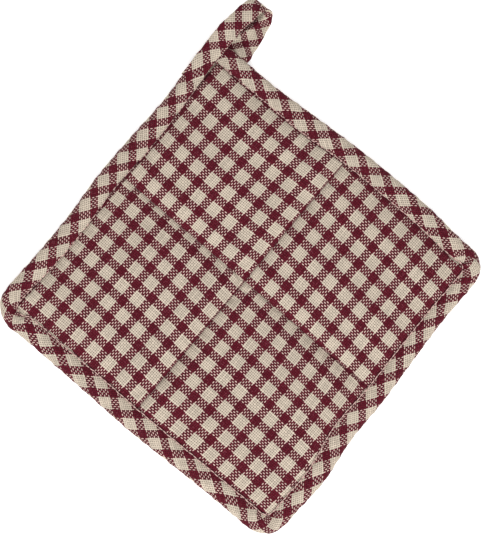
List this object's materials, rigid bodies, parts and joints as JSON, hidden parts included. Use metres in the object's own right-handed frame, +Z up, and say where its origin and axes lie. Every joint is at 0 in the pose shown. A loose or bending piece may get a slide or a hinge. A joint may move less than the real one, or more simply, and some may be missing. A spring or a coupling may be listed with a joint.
{
  "type": "pot holder",
  "caption": "Square quilted cloth pot holder in a two-colour check, with a bias-cut binding and a corner hanging loop.",
  "frame": {"origin": "on the surface it lies on, under the middle of the whole with its loop", "axes": "+Z up out of the front face, +Y the way the hanging loop points, +X to the right seen from the front"},
  "size_m": [0.2074, 0.236, 0.0115],
  "materials": {
    "panel_cloth": "coarse plain-weave cotton in a burgundy and cream check, cut straight",
    "binding_cloth": "the same checked cotton, cut on the bias",
    "sewing_thread": "cream cotton sewing thread"
  },
  "bodies": {
    "root": {"pad": "panel_cloth", "binding": "binding_cloth", "loop": "binding_cloth"}
  },
  "joints": []
}
